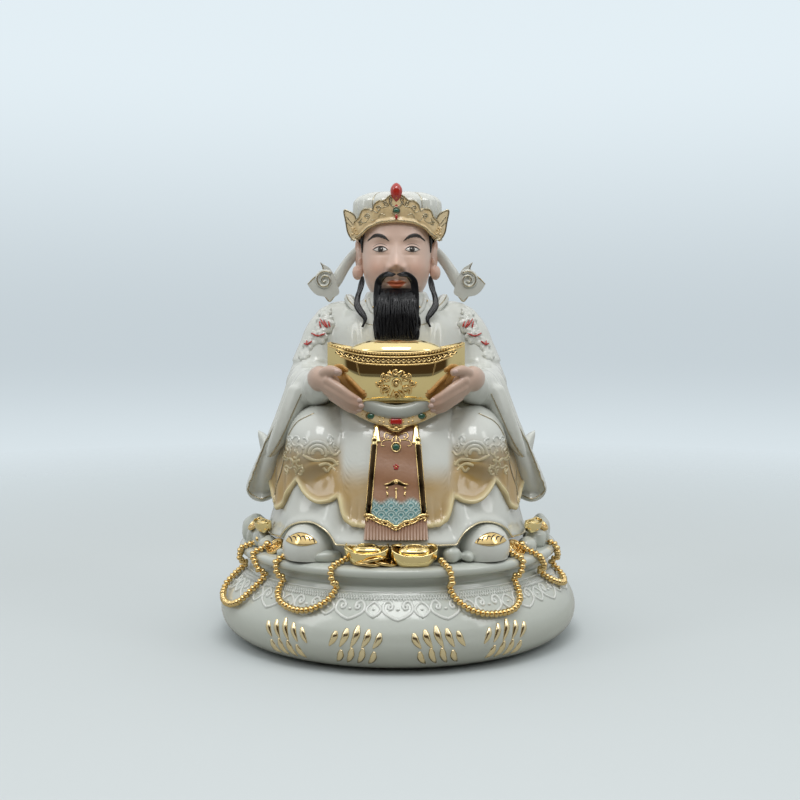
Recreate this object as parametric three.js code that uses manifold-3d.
// Seated wealth god in glazed porcelain, with an ingot in its hands, on a round treasure basin.
// Millimetres, +Z up, +X to the viewer's right, -Y towards the viewer. The origin is the centre
// of the basin's foot, on the surface that it stands on.

import * as THREE from 'three';
import { mergeVertices } from 'three/addons/utils/BufferGeometryUtils.js';
import Module from 'manifold-3d';

const wasm = await Module();
wasm.setup();

// Driving sizes: the whole
const JOINT_GAP = 0.3;                 // between two pieces that rest on each other
const FIGURE_HEIGHT = 236.7;           // from the basin's top to the tip of the finial

// Driving sizes: the treasure basin
const FOOT_RADIUS = 103;
const BULGE_RADIUS = 120.5;
const BULGE_HEIGHT = 17.5;
const NECK_RADIUS = 101.5;
const NECK_HEIGHT = 48.5;
const RIM_RADIUS = 107.5;
const RIM_THICKNESS = 8;
const BASIN_HEIGHT = 63;

// Driving sizes: the ruyi border on the basin's shoulder
const BORDER_MOTIFS = 24;
const BORDER_RELIEF = 0.9;
const BORDER_TOP = 45;
const BORDER_BOTTOM = 32;

// Driving sizes: bead strings and treasures
const BEAD_RADIUS = 2.3;
const BEAD_PITCH = 6.4;
const COIN_RADIUS = 12;
const COIN_THICKNESS = 2.4;
const SMALL_INGOT_LENGTH = 29;

// Driving sizes: the gold ingot in the hands
const INGOT_LENGTH = 88;               // from tip to tip
const INGOT_DEPTH = 45;
const INGOT_BODY_HEIGHT = 32;          // from its underside to the middle of its rim
const INGOT_HORN_RISE = 6;             // how far the two tips stand above the rim's middle
const INGOT_DOME_RISE = 8;             // the bulge inside the rim, above the rim's middle
const INGOT_FOOT_SHARE = 0.46;         // the flat underside's share of the length
const INGOT_KEEL_SHARE = 0.45;         // how far up its body the underside has risen at the two tips

// The figure's rows are drawn at these sizes. Its height follows the finial, and its breadth the rim.
const drawn = { height: 236.7, rim: 107.5 };
const rise = FIGURE_HEIGHT / drawn.height;
const spread = RIM_RADIUS / drawn.rim;
const rimHeight = BASIN_HEIGHT - RIM_THICKNESS;
const figureFloor = BASIN_HEIGHT + JOINT_GAP;

// Plain helpers

const lerp = (a, b, t) => a + (b - a) * t;
const smooth = (t) => t * t * (3 - 2 * t);
const clamp01 = (t) => Math.min(1, Math.max(0, t));

function toSolid(geometry) {
  const bare = geometry.index ? geometry.toNonIndexed() : geometry.clone();
  for (const name of Object.keys(bare.attributes)) {
    if (name !== 'position') bare.deleteAttribute(name);
  }
  const merged = mergeVertices(bare, 1e-4);
  const positions = merged.attributes.position.array;
  const corners = [];
  const index = merged.index.array;
  for (let i = 0; i < index.length; i += 3) {
    const [a, b, c] = [index[i], index[i + 1], index[i + 2]];
    if (a !== b && b !== c && c !== a) corners.push(a, b, c);
  }
  let volume = 0;
  const p = (i) => new THREE.Vector3().fromArray(positions, i * 3);
  for (let i = 0; i < corners.length; i += 3) {
    volume += p(corners[i]).dot(p(corners[i + 1]).cross(p(corners[i + 2])));
  }
  if (volume < 0) corners.reverse();
  return new wasm.Manifold(new wasm.Mesh({
    numProp: 3,
    vertProperties: new Float32Array(positions),
    triVerts: new Uint32Array(corners),
  }));
}

function join(geometries) {
  return wasm.Manifold.union(geometries.map((g) => (g.isBufferGeometry ? toSolid(g) : g)));
}

// The largest body of a solid, without the crumbs that a cut leaves loose
function mainBody(solid) {
  return solid.decompose().reduce((largest, body) => (body.volume() > largest.volume() ? body : largest));
}

// Slivers that a join leaves, thinner than this, are merged into their neighbours.
const sliver = 0.08;

function toGeometry(solid) {
  const mesh = solid.simplify(sliver).getMesh();
  const geometry = new THREE.BufferGeometry();
  geometry.setAttribute('position', new THREE.BufferAttribute(mesh.vertProperties, 3));
  geometry.setIndex(new THREE.BufferAttribute(mesh.triVerts, 1));
  geometry.computeVertexNormals();
  return geometry;
}

// A skin through rings of points; each end is closed by a fan whose hub stands out by its dome.
function loft(rings, { startDome = 0, endDome = 0, closed = false } = {}) {
  const count = rings[0].length;
  const positions = rings.flat().flatMap((v) => [v.x, v.y, v.z]);
  const index = [];
  const bands = closed ? rings.length : rings.length - 1;
  for (let r = 0; r < bands; r += 1) {
    const next = (r + 1) % rings.length;
    for (let i = 0; i < count; i += 1) {
      const j = (i + 1) % count;
      index.push(r * count + i, r * count + j, next * count + j);
      index.push(r * count + i, next * count + j, next * count + i);
    }
  }
  const centre = (ring) => ring.reduce((sum, v) => sum.add(v), new THREE.Vector3()).divideScalar(count);
  const cap = (r, inner, dome, flip) => {
    const hub = centre(rings[r]);
    const out = hub.clone().sub(centre(rings[inner])).normalize();
    hub.addScaledVector(out, dome);
    const hubIndex = positions.length / 3;
    positions.push(hub.x, hub.y, hub.z);
    for (let i = 0; i < count; i += 1) {
      const j = (i + 1) % count;
      if (flip) index.push(hubIndex, r * count + j, r * count + i);
      else index.push(hubIndex, r * count + i, r * count + j);
    }
  };
  if (!closed) {
    cap(0, 1, startDome, true);
    cap(rings.length - 1, rings.length - 2, endDome, false);
  }
  const geometry = new THREE.BufferGeometry();
  geometry.setAttribute('position', new THREE.Float32BufferAttribute(positions, 3));
  geometry.setIndex(index);
  return geometry;
}

// One level ring: a squarish oval whose front and back reach different distances from its middle.
function oval({ z, x, front, back, cx = 0, cy = 0, power = 2, count = 24, carve = null }) {
  const ring = [];
  for (let i = 0; i < count; i += 1) {
    const angle = (i / count) * Math.PI * 2;
    const c = Math.cos(angle);
    const s = Math.sin(angle);
    const grow = carve ? carve(angle, z) : 1;
    const px = Math.sign(c) * Math.abs(c) ** (2 / power) * x * grow;
    const reach = s < 0 ? front : back;
    const py = Math.sign(s) * Math.abs(s) ** (2 / power) * reach * grow;
    ring.push(new THREE.Vector3(cx + px, cy + py, z));
  }
  return ring;
}

// A stack of level rings from rows of height, half width, front reach and back reach.
function column(rows, { cx = 0, cy = 0, power = 2, count = 24, carve = null, ...caps } = {}) {
  const ring = ([z, x, front, back, dx = 0, dy = 0]) => oval({
    z, x, front, back, cx: cx + dx, cy: cy + dy, power, count, carve,
  });
  return loft(rows.map(ring), caps);
}

// A tube along a smooth curve whose half width and half thickness change on the way.
function sweep(points, sizes, { sides = 6, steps = 8, up = [0, -1, 0], dome = 0.6 } = {}) {
  const knots = points.map((p) => new THREE.Vector3(...p));
  const curve = new THREE.CatmullRomCurve3(knots, false, 'centripetal');
  const upward = new THREE.Vector3(...up);
  const rings = [];
  for (let i = 0; i <= steps; i += 1) {
    const t = i / steps;
    const here = curve.getPoint(t);
    const along = curve.getTangent(t);
    const wide = new THREE.Vector3().crossVectors(along, upward).normalize();
    const thick = new THREE.Vector3().crossVectors(wide, along).normalize();
    const place = t * (sizes.length - 1);
    const low = Math.min(sizes.length - 2, Math.floor(place));
    const [w, h] = [0, 1].map((k) => lerp(sizes[low][k], sizes[low + 1][k], place - low));
    const ring = [];
    for (let k = 0; k < sides; k += 1) {
      const angle = ((k + 0.5) / sides) * Math.PI * 2;
      ring.push(here.clone()
        .addScaledVector(wide, Math.cos(angle) * w)
        .addScaledVector(thick, Math.sin(angle) * h));
    }
    rings.push(ring);
  }
  return loft(rings, { startDome: sizes[0][1] * dome, endDome: sizes.at(-1)[1] * dome });
}

function ellipsoid([x, y, z], [rx, ry, rz], across = 12, down = 8) {
  const ball = new THREE.SphereGeometry(1, across, down);
  ball.rotateX(Math.PI / 2);
  ball.scale(rx, ry, rz);
  ball.translate(x, y, z);
  return ball;
}

// A small faceted bump
function pebble([x, y, z], [rx, ry, rz]) {
  return new THREE.IcosahedronGeometry(1, 0).scale(rx, ry, rz).translate(x, y, z);
}

function mirrored(geometry) {
  const copy = geometry.clone();
  copy.scale(-1, 1, 1);
  return copy;
}

const both = (pieces) => pieces.flatMap((piece) => [piece, mirrored(piece)]);

// A flat plate cut to an outline in X and Z, with its thickness along Y about the given depth.
function plate(outline, thickness, y, curveSegments = 6) {
  const options = { depth: thickness, bevelEnabled: false, curveSegments };
  const geometry = new THREE.ExtrudeGeometry(outline, options);
  geometry.rotateX(Math.PI / 2);
  geometry.translate(0, y + thickness / 2, 0);
  return geometry;
}

// Reads a row table of levels at any height between its rows.
function levelAt(rows, z) {
  const last = rows.length - 1;
  if (z <= rows[0][0]) return rows[0];
  if (z >= rows[last][0]) return rows[last];
  const upper = rows.findIndex((row) => row[0] > z);
  const [a, b] = [rows[upper - 1], rows[upper]];
  const t = (z - a[0]) / (b[0] - a[0]);
  return a.map((value, k) => lerp(value, b[k], t));
}

// The treasure basin

// Rows of radius and height from the foot to the rim's inner edge
const basinProfile = [
  [FOOT_RADIUS, 0],
  [lerp(FOOT_RADIUS, BULGE_RADIUS, 0.62), BULGE_HEIGHT * 0.32],
  [BULGE_RADIUS, BULGE_HEIGHT],
  [lerp(NECK_RADIUS, BULGE_RADIUS, 0.88), lerp(BULGE_HEIGHT, NECK_HEIGHT, 0.38)],
  [lerp(NECK_RADIUS, BULGE_RADIUS, 0.5), lerp(BULGE_HEIGHT, NECK_HEIGHT, 0.7)],
  [NECK_RADIUS, NECK_HEIGHT],
  [lerp(NECK_RADIUS, RIM_RADIUS, 0.3), rimHeight],
  [RIM_RADIUS, rimHeight + RIM_THICKNESS * 0.35],
  [RIM_RADIUS, rimHeight + RIM_THICKNESS * 0.7],
  [RIM_RADIUS - RIM_THICKNESS * 0.3, BASIN_HEIGHT],
];

function basinRadius(z) {
  const rows = basinProfile.map(([r, height]) => [height, r]);
  return levelAt(rows, z)[1];
}

function onBasin(azimuth, z, out = 0) {
  const reach = basinRadius(z) + out;
  return new THREE.Vector3(Math.sin(azimuth) * reach, -Math.cos(azimuth) * reach, z);
}

// The body is turned, with the ruyi border as a band in relief whose lower edge hangs in points.
function basinBody() {
  const segments = BORDER_MOTIFS * 2;
  const drop = [BORDER_BOTTOM, lerp(BORDER_BOTTOM, BORDER_TOP, 0.55)];
  const below = basinProfile.filter(([, z]) => z < BORDER_BOTTOM - BORDER_RELIEF);
  const above = basinProfile.filter(([, z]) => z > BORDER_TOP + BORDER_RELIEF);
  const level = (height, relief = 0) => {
    const ring = [];
    for (let i = 0; i < segments; i += 1) {
      ring.push(onBasin((i / segments) * Math.PI * 2, height(i), relief));
    }
    return ring;
  };
  return loft([
    ...below.map(([, z]) => level(() => z)),
    level((i) => drop[i % 2] - BORDER_RELIEF),
    level((i) => drop[i % 2], BORDER_RELIEF),
    level(() => BORDER_TOP, BORDER_RELIEF),
    level(() => BORDER_TOP + BORDER_RELIEF),
    ...above.map(([, z]) => level(() => z)),
  ]);
}

// A string of beads hangs over the rim in a loop: its middle and half width in degrees, the share of
// the basin's height that it hangs down to, and how far its lowest part leans to one side.
const beadStrings = [
  { middle: -31, reach: 11, low: 0.54, lean: 0 },
  { middle: 27.7, reach: 13, low: 0.56, lean: 0 },
  { middle: 67, reach: 9.5, low: 0.56, lean: 0 },
  { middle: -63, reach: 10.5, low: 0.37, lean: 1 },
];

// The string hangs clear of the basin and is fastened by its two ends, inside the rim.
function beadString({ middle, reach, low, lean }) {
  const radians = THREE.MathUtils.degToRad;
  const top = BASIN_HEIGHT + BEAD_RADIUS * 1.4;
  const widest = (from, to) => {
    const between = basinProfile.filter(([, z]) => z >= from && z <= to);
    return Math.max(...between.map(([r]) => r), 0);
  };
  const onRing = (azimuth, out, z) => (
    new THREE.Vector3(Math.sin(azimuth) * out, -Math.cos(azimuth) * out, z)
  );
  const points = [];
  const samples = 40;
  for (let i = 0; i <= samples; i += 1) {
    const t = (i / samples) * 2 - 1;
    const fall = 1 - Math.abs(t) ** 3.2;
    const z = lerp(top, BASIN_HEIGHT * low, clamp01(fall * 1.12));
    const azimuth = radians(middle + reach * Math.sin(t * Math.PI / 2) + lean * fall);
    const hanging = Math.max(basinRadius(z), widest(z - BEAD_RADIUS, BASIN_HEIGHT));
    points.push(onRing(azimuth, hanging + BEAD_RADIUS * 1.5, z));
  }
  const anchor = (end, depth, z) => {
    const azimuth = radians(middle + reach * end);
    return onRing(azimuth, RIM_RADIUS - BEAD_RADIUS * depth, z);
  };
  points.unshift(anchor(-1, 3.5, BASIN_HEIGHT - BEAD_RADIUS), anchor(-1, 2.4, top));
  points.push(anchor(1, 2.4, top), anchor(1, 3.5, BASIN_HEIGHT - BEAD_RADIUS));
  const curve = new THREE.CatmullRomCurve3(points, false, 'centripetal');
  const beads = Math.round(curve.getLength() / BEAD_PITCH);
  const sides = 3;
  const rings = curve.getSpacedPoints(beads * 2).map((here, i) => {
    const along = curve.getTangentAt(i / (beads * 2));
    const out = here.clone().setZ(0).normalize();
    const wide = new THREE.Vector3().crossVectors(along, out).normalize();
    const thick = new THREE.Vector3().crossVectors(wide, along).normalize();
    const size = i % 2 ? BEAD_RADIUS * 1.2 : BEAD_RADIUS * 0.45;
    return Array.from({ length: sides }, (_, k) => here.clone()
      .addScaledVector(wide, Math.cos((k / sides + 0.25) * Math.PI * 2) * size)
      .addScaledVector(thick, Math.sin((k / sides + 0.25) * Math.PI * 2) * size));
  });
  return loft(rings);
}

// Half of an ingot's cross-section, as shares of its half depth and of its height at that place
const ingotSection = [[0.5, 0], [0.82, 0.3], [1, 0.95], [0.92, 1]];

// A boat-shaped ingot about its own middle, underside at z = 0; grow makes it larger all over.
function ingot(length, depth, body, horn, dome, foot, grow = 0, stations = 12) {
  const rings = [];
  const half = length / 2 + grow;
  for (let i = 0; i <= stations; i += 1) {
    const s = (i / stations) * 2 - 1;
    const end = Math.abs(s);
    const wide = (depth / 2) * Math.sqrt(1 - 0.93 * end ** 2.4) + grow;
    const rim = body + horn * end ** 2.2 + grow;
    const keel = body * INGOT_KEEL_SHARE * smooth(clamp01((end - foot) / (1 - foot))) - grow;
    const side = ingotSection.map(([y, z]) => new THREE.Vector3(s * half, y * wide, lerp(keel, rim, z)));
    const otherSide = [...side].reverse().map((v) => new THREE.Vector3(v.x, -v.y, v.z));
    rings.push([...side, ...otherSide]);
  }
  const bulgeSize = [length * 0.36 + grow, depth * 0.36 + grow, dome * 1.2 + grow];
  return [loft(rings), ellipsoid([0, 0, body - dome * 0.2], bulgeSize, 12, 6)];
}

function smallIngot([x, y, z], turn, length = SMALL_INGOT_LENGTH) {
  const share = length / INGOT_LENGTH;
  const [hull] = ingot(
    length, INGOT_DEPTH * share, INGOT_BODY_HEIGHT * share, INGOT_HORN_RISE * share * 1.6,
    INGOT_DOME_RISE * share, INGOT_FOOT_SHARE, 0, 4,
  );
  return hull.rotateZ(turn).translate(x, y, z);
}

function coin([x, y, z], tilt = 0) {
  const disc = new THREE.CylinderGeometry(COIN_RADIUS, COIN_RADIUS, COIN_THICKNESS, 8);
  disc.rotateX(Math.PI / 2 + tilt);
  return disc.translate(x, y, z);
}

function rock([x, y, z], [rx, ry, rz], turn) {
  const stone = new THREE.DodecahedronGeometry(spread, 0);
  stone.rotateZ(turn).rotateX(turn * 0.7);
  return stone.scale(rx, ry, rz).translate(x, y, z);
}

// The treasures lie on the basin's top between the robe and the rim: degrees from straight ahead, how
// far up and how far out they lie beyond the strip's middle, their reaches or length, and their turn.
function treasures() {
  const stripShare = 0.9;
  const place = (degrees, up, out = 0) => {
    const a = THREE.MathUtils.degToRad(degrees);
    const reach = RIM_RADIUS * stripShare + out * spread;
    return [Math.sin(a) * reach, -Math.cos(a) * reach, BASIN_HEIGHT + up * spread];
  };
  const ingots = [
    [5, -1, 0, 1, 0.1], [-15, 2, -1, 0.75, 0.2], [-62, 8, 1, 0.7, -1.1], [62, 8, 1, 0.7, 1.1],
  ];
  const rocks = [
    [-24, 2, 0, [9.5, 7, 7], 0.4], [21, 2, 0, [11, 7, 8], 1.1],
    [-67, 3, 1, [13, 10, 11], 0.9], [67, 3, 1, [13, 10, 11], 2.4],
    [-86, 4, 2, [10, 13, 14], 1.7], [86, 4, 2, [10, 13, 14], 0.2],
  ];
  return [
    coin(place(-8, 1), 0),
    ...ingots.map(([degrees, up, out, share, turn]) => (
      smallIngot(place(degrees, up, out), turn, SMALL_INGOT_LENGTH * share)
    )),
    ...rocks.map(([degrees, up, out, size, turn]) => rock(place(degrees, up, out), size, turn)),
  ];
}

// The figure is drawn in its own units from the basin's top upwards, and is set to size at the end.

const fold = (waves, depth, phase = 0) => (angle) => 1 + depth * Math.cos(angle * waves + phase);

// Rows of height, half width, front reach and back reach
const skirtRows = [
  [0, 80, 86, 50],
  [9, 82, 88, 51],
  [10.5, 86, 96, 52],
  [30, 82.5, 89, 51],
  [52, 80, 80.5, 50],
  [78, 71, 69, 46],
  [92, 56, 56, 42],
];
const skirtPower = 2.6;
const robeLift = 2.8;                  // how far the lobed over-robe stands out from the skirt
const lobeDrop = { outer: 27, middle: 35.5, inner: 22 };   // the lowest heights of its lobes

function skirtFront(x, z, lift = 0) {
  const [, wide, front] = levelAt(skirtRows, z);
  const share = clamp01(Math.abs(x) / (wide + lift));
  return -(front + lift) * (1 - share ** skirtPower) ** (1 / skirtPower);
}

function skirt() {
  return column(skirtRows, { power: skirtPower, count: 24, endDome: 3 });
}

// A knee under the over-robe: its middle and its reaches
const knee = { x: 54, y: -45, z: 70, wide: 27, deep: 34.5, high: 31 };

// The larger of two reaches, with a soft crease where they meet
function softMax(a, b, blend) {
  const close = Math.max(blend - Math.abs(a - b), 0);
  return Math.max(a, b) + close ** 2 / (4 * blend);
}

// How far out the knee lies at a height, along a level direction from the figure's axis
function kneeReach(dx, dy, z) {
  const room = 1 - ((z - knee.z) / knee.high) ** 2;
  const [cos, sin] = [Math.abs(dx), dy];
  const first = (cos / knee.wide) ** 2 + (sin / knee.deep) ** 2;
  const second = -2 * ((cos * knee.x) / knee.wide ** 2 + (sin * knee.y) / knee.deep ** 2);
  const third = (knee.x / knee.wide) ** 2 + (knee.y / knee.deep) ** 2 - room;
  const inside = second ** 2 - 4 * first * third;
  return room <= 0 || inside < 0 ? 0 : (-second + Math.sqrt(inside)) / (2 * first);
}

// The over-robe lies on the skirt and swells over the knees.
function overRobe() {
  const levels = [18, 34, 48, 58, 66, 74, 82, 90, 96, 100];
  const kneeBlend = 6;
  const rings = levels.map((z) => {
    const [, wide, front, back] = levelAt(skirtRows, z);
    const taper = z > 90 ? 1 - (z - 90) / 40 : 1;
    const size = { x: wide * taper + robeLift, front: front * taper + robeLift, back: back + robeLift };
    return oval({ z, ...size, power: skirtPower, count: 36 }).map((point) => {
      const reach = Math.hypot(point.x, point.y);
      const grow = softMax(reach, kneeReach(point.x / reach, point.y / reach, z), kneeBlend) / reach;
      return new THREE.Vector3(point.x * grow, point.y * grow, z);
    });
  });
  return loft(rings, { endDome: 2 });
}

// The over-robe's lower edge: three round lobes on each side, the same on both.
function lobeCurtain() {
  const { outer, middle, inner } = lobeDrop;
  const half = new THREE.Shape();
  half.moveTo(0, 112);
  half.lineTo(0, inner + 3);
  half.quadraticCurveTo(10, inner - 1, 20, inner - 0.5);
  half.quadraticCurveTo(31, inner + 5, 34.5, 42);
  half.quadraticCurveTo(38, middle, 47, middle);
  half.quadraticCurveTo(57, middle, 60.5, 49);
  half.quadraticCurveTo(64, outer + 1, 76, outer);
  half.quadraticCurveTo(84, outer + 4, 86, 44);
  half.lineTo(96, 112);
  const thickness = 120;
  return plate(half, thickness, -thickness / 2 - 4, 3);
}

// A wide sleeve hangs from the forearm: rows of height, half widths, and the ring's middle
const bagRows = [
  [27, 7, 14, 14, 91, -12],
  [38, 12.5, 29, 29, 88.5, -14],
  [60, 10, 34, 34, 80, -18],
  [84, 12, 33, 32, 67.5, -20],
  [106, 12.5, 25, 20, 59, -22],
  [116, 8, 16, 10, 56, -22],
];

function sleeveBag() {
  return column(bagRows, { count: 10, power: 2.2, startDome: 1.5, endDome: 1 });
}

function sleeve() {
  const arm = sweep(
    [[28, 3, 147], [42, 2, 143], [49, 0, 127], [56, -7, 108], [57, -27, 102], [51, -46, 104], [45, -57, 107]],
    [[13, 13], [16.5, 16.5], [16.5, 17], [17, 17.5], [15.5, 16], [12.5, 13], [9.5, 10]],
    { sides: 7, steps: 7, up: [0, 1, 0.35] },
  );
  const opening = ellipsoid([88, -44, 43], [7, 15, 19], 6, 5);
  const bag = toSolid(sleeveBag()).subtract(toSolid(opening));
  const tongueRows = [
    [60, 2.5, 3.5, 3.5, 82, -43],
    [70, 5.5, 7, 7, 77.5, -43],
    [88, 8, 10, 10, 68, -41],
    [106, 9, 12, 12, 59, -40],
  ];
  const tongue = column(tongueRows, { count: 7, startDome: 1 });
  return { arm, bag, tongue };
}

// Low flower heads and clouds on the shoulders
function shoulderFlowers() {
  const spots = [
    [53, -12, 144, 8],
    [59, -13, 134, 7.5],
  ];
  return spots.map(([x, y, z, r]) => pebble([x, y, z], [r, r * 0.8, r * 0.9]));
}

function torso() {
  const rows = [
    [66, 50, 66, 45],
    [84, 48, 71, 45],
    [95, 51, 68, 44],
    [106, 51, 50, 43],
    [124, 47, 38, 40],
    [142, 44, 34, 36],
    [154, 36, 29, 31],
    [159, 24, 24, 25],
    [162, 21, 23.5, 24],
    [166, 20, 22, 23],
  ];
  return column(rows, { power: 2.3, count: 14 });
}

// The stool is a boat-shaped ingot whose two tips show behind the sleeves.
function stool() {
  const stations = [
    [97, 66, 70, 2],
    [93, 46, 68.5, 10],
    [86, 22, 62, 22],
    [74, 0, 55, 34],
    [45, 0, 50, 43],
    [0, 0, 48, 46],
  ];
  const middleY = 24;
  const half = stations.map(([x, low, high, deep]) => {
    const ring = [];
    const count = 8;
    for (let k = 0; k < count; k += 1) {
      const angle = ((k + 0.5) / count) * Math.PI * 2;
      const y = middleY + Math.sign(Math.cos(angle)) * Math.abs(Math.cos(angle)) ** 0.7 * deep;
      const up = Math.sign(Math.sin(angle)) * Math.abs(Math.sin(angle)) ** 0.6;
      ring.push(new THREE.Vector3(x, y, lerp(low, high, 0.5 + 0.5 * up)));
    }
    return ring;
  });
  const flipped = (ring) => ring.map((v) => new THREE.Vector3(-v.x, v.y, v.z));
  const otherHalf = half.slice(0, -1).reverse().map(flipped);
  return loft([...half, ...otherHalf]);
}

function robeTail() {
  const rows = [
    [0, 47, 14, 14, 0, 60],
    [42, 44, 14, 12, 0, 60],
    [56, 42, 16, 12, 0, 53],
    [72, 41, 16, 12, 0, 38],
    [92, 40, 12, 9, 0, 35],
  ];
  return column(rows, { count: 12, carve: fold(6, 0.02) });
}

// Boots, and the arches in the hem over them
const bootX = 54;

function boot(lift = 0) {
  return ellipsoid([bootX, -71, 7], [13 + lift, 17 + lift, 17 + lift], 9, 6);
}

function bootArch() {
  return ellipsoid([bootX, -84, 5], [18, 18, 21], 10, 6);
}

// Head, hair and beard
function head() {
  const rows = [
    [159.5, 8, 14, 4],
    [163, 14.5, 22, 12],
    [171, 21, 26, 18],
    [182, 24.4, 27.5, 23],
    [196, 24.8, 27, 26],
    [208, 24, 26, 27],
    [218, 20, 22, 24],
  ];
  const face = column(rows, { cy: -3, power: 2.15, count: 16, startDome: 0.8 });
  const nose = sweep(
    [[0, -29, 199], [0, -31.5, 192], [0, -34.5, 185], [0, -33.5, 181]],
    [[2, 1.6], [2.4, 2.4], [4.4, 3.2], [3, 2]],
    { sides: 4, steps: 2 },
  );
  const details = both([
    pebble([10, -26.6, 194.5], [5.2, 3.2, 2.8]),
    ellipsoid([25.8, 0, 186], [3.4, 6.5, 17], 5, 4),
  ]);
  const lips = pebble([0, -30, 171.7], [7, 2.4, 2.6]);
  return [face, nose, ...details, lips];
}

function hair() {
  const moustache = sweep(
    [[0.5, -32.6, 177.4], [6, -32.2, 177.6], [12, -29, 173.5], [14, -28.5, 165], [13.5, -30, 156]],
    [[1.2, 1], [2, 1.6], [2.6, 2], [3, 2.4], [2.6, 2.4]],
    { sides: 4, steps: 5 },
  );
  const lock = sweep(
    [
      [21, -8, 183], [24, -15, 173], [27.5, -21, 162], [25, -26, 155],
      [20.5, -29.5, 150], [22, -31, 146], [24.5, -31.5, 143],
    ],
    [[2, 1.6], [2.8, 2], [3, 2.2], [2.6, 1.8], [2, 1.6], [0.8, 0.8]],
    { sides: 3, steps: 7 },
  );
  const beardRows = [
    [122, 15, 4, 4, 0, -36],
    [132, 15.6, 5.2, 5, 0, -36],
    [142, 15, 6.4, 5, 0, -34.5],
    [152, 14.6, 7.4, 6, 0, -32.5],
    [160, 14.5, 7.4, 6, 0, -30],
    [167, 12.5, 6, 6, 0, -27],
  ];
  const beard = column(beardRows, { count: 12, power: 2.6, carve: fold(6, 0.03), endDome: 1 });
  return [beard, ...both([moustache, lock])];
}

// The cap is a melon-lobed crown behind a scalloped diadem.
const capLobes = 10;

function cap() {
  const rows = [
    [198, 26.5, 24, 29],
    [208, 28.5, 27, 31],
    [221, 30.5, 28, 32],
    [230, 28, 25, 29],
    [234, 17, 15, 18],
  ];
  const groove = (angle) => (Math.cos(angle * capLobes) > 0 ? 0.955 : 1.01);
  return column(rows, { cy: -1, count: capLobes * 2, power: 2.2, carve: groove, endDome: 1 });
}

function diadem() {
  const steps = 18;
  const reachDegrees = 84;
  const rings = [];
  for (let i = 0; i <= steps; i += 1) {
    const s = (i / steps) * 2 - 1;
    const side = Math.abs(s);
    const azimuth = THREE.MathUtils.degToRad(s * reachDegrees);
    const bottom = 213.5 - 11 * side ** 1.6;
    const peak = 229 - 13 * side;
    const scallop = Math.abs(Math.sin(side * Math.PI * 3.5 + Math.PI / 2));
    const top = peak - 4 * (1 - scallop ** 0.7);
    const ring = (reach, z) => new THREE.Vector3(
      Math.sin(azimuth) * (reach + 1), -1 - Math.cos(azimuth) * reach, z,
    );
    rings.push([ring(26, bottom), ring(30.2, bottom), ring(30.8, top), ring(27.6, top)]);
  }
  return loft(rings);
}

function diademFlap() {
  const outline = new THREE.Shape();
  outline.moveTo(26, 207);
  outline.lineTo(27.5, 201.5);
  outline.quadraticCurveTo(30, 199.5, 33, 203);
  outline.quadraticCurveTo(36.5, 210, 35.8, 220);
  outline.quadraticCurveTo(32, 217, 30, 211);
  return plate(outline, 3.2, -15, 5);
}

function finial() {
  const profile = [
    [0, 213], [2.6, 214], [2.8, 218], [1.5, 221], [1.7, 224.5],
    [3.9, 228.5], [4.1, 231.5], [2.6, 235], [0, drawn.height],
  ];
  const bulb = new THREE.LatheGeometry(profile.map(([r, z]) => new THREE.Vector2(r, z)), 6);
  return bulb.rotateX(Math.PI / 2).translate(0, -29, 0);
}

// A hat wing: a stalk from behind the ear to a curled cloud scroll above the shoulder
function hatWing() {
  const stalk = sweep(
    [[22, 9, 197], [30, 8, 191], [39, 6, 178], [45, 5, 168]],
    [[3.6, 2.4], [3.8, 2.4], [4.2, 2.4]],
    { sides: 4, steps: 3 },
  );
  const outline = new THREE.Shape();
  outline.moveTo(41, 176);
  outline.quadraticCurveTo(41, 166, 45, 160.5);
  outline.lineTo(49, 163.5);
  outline.quadraticCurveTo(57, 164, 60.5, 173);
  outline.lineTo(56, 176);
  outline.lineTo(50.5, 187.5);
  outline.quadraticCurveTo(50.5, 180, 41, 176);
  const leaf = plate(outline, 5, 5, 2);
  const curlCentre = [49, 174.5];
  const turns = 1.6;
  const curlPoints = [];
  for (let i = 0; i <= 12; i += 1) {
    const t = i / 12;
    const angle = t * turns * Math.PI * 2 + 0.9;
    const reach = 5.6 * (1 - t * 0.85);
    curlPoints.push([curlCentre[0] + Math.cos(angle) * reach, 2.3, curlCentre[1] + Math.sin(angle) * reach]);
  }
  const curl = sweep(curlPoints, [[1.1, 1], [0.9, 0.9]], { sides: 3, steps: 9 });
  return [stalk, leaf, curl];
}

// Belt, apron and their ornaments
function belt() {
  const hoop = sweep(
    [
      [37, -55, 99], [27, -64.5, 94], [14, -71.5, 87.5], [0, -74, 84],
      [-14, -71.5, 87.5], [-27, -64.5, 94], [-37, -55, 99],
    ],
    [[4.2, 2.4], [4.6, 2.6], [4.2, 2.4]],
    { sides: 4, steps: 6 },
  );
  const gems = [
    pebble([0, -76.3, 84.5], [5, 1.8, 2.8]),
  ];
  return [hoop, ...gems];
}

const apronTop = 82;
const apronBottom = 15.5;
const apronHalf = (z) => lerp(14, 19.8, (apronTop - z) / (apronTop - apronBottom));

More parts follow.
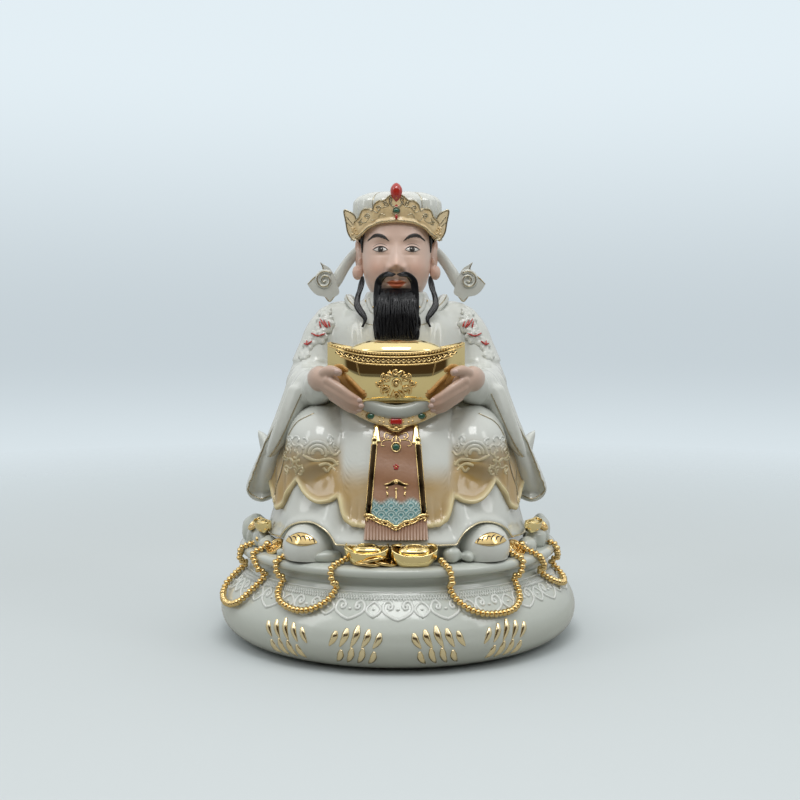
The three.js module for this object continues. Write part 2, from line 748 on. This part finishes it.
function apron() {
  const heights = [apronTop, 66, 48, 30, apronBottom];
  const front = (x, z) => Math.min(skirtFront(x, z, robeLift + 2), -70.5 - (apronTop - z) * 0.29);
  const strip = (from, to, lift, rows, columns) => {
    const rings = rows.map((z) => {
      const across = [];
      const half = apronHalf(z);
      for (let i = 0; i <= columns; i += 1) across.push(lerp(from, to, i / columns) * half);
      const skin = across.map((x) => new THREE.Vector3(x, front(x, z) - lift, z));
      const inner = across.reverse().map((x) => new THREE.Vector3(x, front(x, z) + 9, z));
      return [...skin, ...inner];
    });
    return loft(rings);
  };
  const cloth = strip(-1, 1, 0, heights, 3);
  const sideHeights = heights.slice(0, -1);
  const edges = [strip(-1, -0.84, 1.1, sideHeights, 1), strip(0.84, 1, 1.1, sideHeights, 1)];
  const chevron = sweep(
    [[-19.4, front(19, 30) - 0.6, 31], [0, front(0, 23) - 0.8, 23.5], [19.4, front(19, 30) - 0.6, 31]],
    [[1.6, 1], [1.7, 1.1], [1.6, 1]],
    { sides: 3, steps: 2 },
  );
  const jewels = [[69, 3.4], [56, 2.2], [46, 4]]
    .map(([z, r]) => pebble([0, front(0, z) - 0.6, z], [r, 1.8, r * 0.8]));
  return [cloth, ...edges, chevron, ...jewels];
}

// Hands are set out from the ingot that they hold.
const ingotMiddle = [0, -60, 96.2];    // the middle of the ingot's underside
const hullReach = INGOT_LENGTH / 2 / spread;

function hand() {
  const [, iy, iz] = ingotMiddle;
  const wrist = sweep(
    [[hullReach + 3, iy + 8, iz + 9], [hullReach + 5, iy - 4, iz + 10], [hullReach + 1, iy - 11, iz + 9]],
    [[9, 9], [9.5, 8], [8, 6]],
    { sides: 5, steps: 2, up: [1, 0, 0] },
  );
  const fingers = [0, 1, 2, 3].map((n) => {
    const y = iy - 17.5 + n * 4.6;
    const drop = n * 1.1;
    return sweep(
      [
        [hullReach + 3, y + 4, iz + 10 - drop * 2],
        [hullReach - 4, y, iz + 4.2 - drop * 1.6],
        [hullReach - 12, y + 0.5, iz - 1 - drop],
        [hullReach - 20 + n * 0.8, y + 2, iz - 4.4 - drop * 0.4],
      ],
      [[4, 4], [3.8, 3.8], [3.5, 3.5], [2.9, 2.9]],
      { sides: 4, steps: 2 },
    );
  });
  const thumb = sweep(
    [
      [hullReach + 4, iy - 10, iz + 13], [hullReach - 1, iy - 17, iz + 18],
      [hullReach - 8, iy - 19, iz + 19], [hullReach - 13, iy - 19.5, iz + 18.5],
    ],
    [[4.8, 4.8], [4.4, 4.4], [4, 4], [3.2, 3.2]],
    { sides: 4, steps: 2 },
  );
  return [wrist, ...fingers, thumb];
}

function heldIngot(grow = 0) {
  const pieces = ingot(
    INGOT_LENGTH, INGOT_DEPTH, INGOT_BODY_HEIGHT, INGOT_HORN_RISE, INGOT_DOME_RISE, INGOT_FOOT_SHARE, grow,
  );
  const [x, y, z] = ingotMiddle;
  pieces.forEach((piece) => piece.translate(x * spread, y * spread, z * rise + figureFloor));
  return join(pieces);
}

function atFullSize(geometry) {
  return geometry.scale(spread, spread, rise).translate(0, 0, figureFloor);
}

function belowFloor() {
  const [across, deep] = [300, 60];
  const slab = new THREE.BoxGeometry(across, across, deep);
  return toSolid(slab.translate(0, 0, -deep / 2));
}

function figureSolid() {
  const { arm, bag, tongue } = sleeve();
  const bagGeometry = toGeometry(bag);
  const arches = join(both([bootArch()]));
  const under = toSolid(skirt()).subtract(arches);
  const over = toSolid(overRobe()).intersect(join(both([lobeCurtain()])));
  const whole = join([
    under,
    over,
    torso(),
    stool(),
    robeTail(),
    ...both([boot(), arm, bagGeometry, tongue]),
    ...both(shoulderFlowers()),
    ...both(hatWing()),
    ...both([diademFlap()]),
    ...both(hand()),
    ...head(),
    ...hair(),
    cap(),
    diadem(),
    finial(),
    ...belt(),
    ...apron(),
  ]).subtract(belowFloor());
  const geometry = toGeometry(whole);
  return toSolid(atFullSize(geometry));
}

// The room that the figure needs between the treasures
const roomRows = [[-1, 84, 91, 74], [8.4, 85, 91, 74], [8.5, 89, 99, 74], [30, 89, 99, 74]];

function figureRoom() {
  const footprint = column(roomRows, { power: skirtPower, count: 16 });
  const geometry = toGeometry(join([footprint, ...both([boot(JOINT_GAP + 1)])]));
  return toSolid(atFullSize(geometry));
}

function basinSolid() {
  const loose = join(treasures()).subtract(figureRoom());
  const strings = join(beadStrings.map(beadString)).subtract(figureRoom());
  return join([basinBody(), loose, strings]);
}

const glaze = new THREE.MeshStandardMaterial({ color: 0xe9ecea, roughness: 0.12, metalness: 0 });
const basinGlaze = new THREE.MeshStandardMaterial({ color: 0xe6e9e7, roughness: 0.12, metalness: 0 });
const gold = new THREE.MeshStandardMaterial({ color: 0xd8b25c, roughness: 0.18, metalness: 1 });

function named(name, solid, material) {
  const mesh = new THREE.Mesh(toGeometry(solid), material);
  mesh.name = name;
  return mesh;
}

const part = new THREE.Group();
part.add(named('basin', basinSolid(), basinGlaze));
part.add(named('figure', mainBody(figureSolid().subtract(heldIngot(JOINT_GAP))), glaze));
part.add(named('gold_ingot', heldIngot(), gold));

export default part;
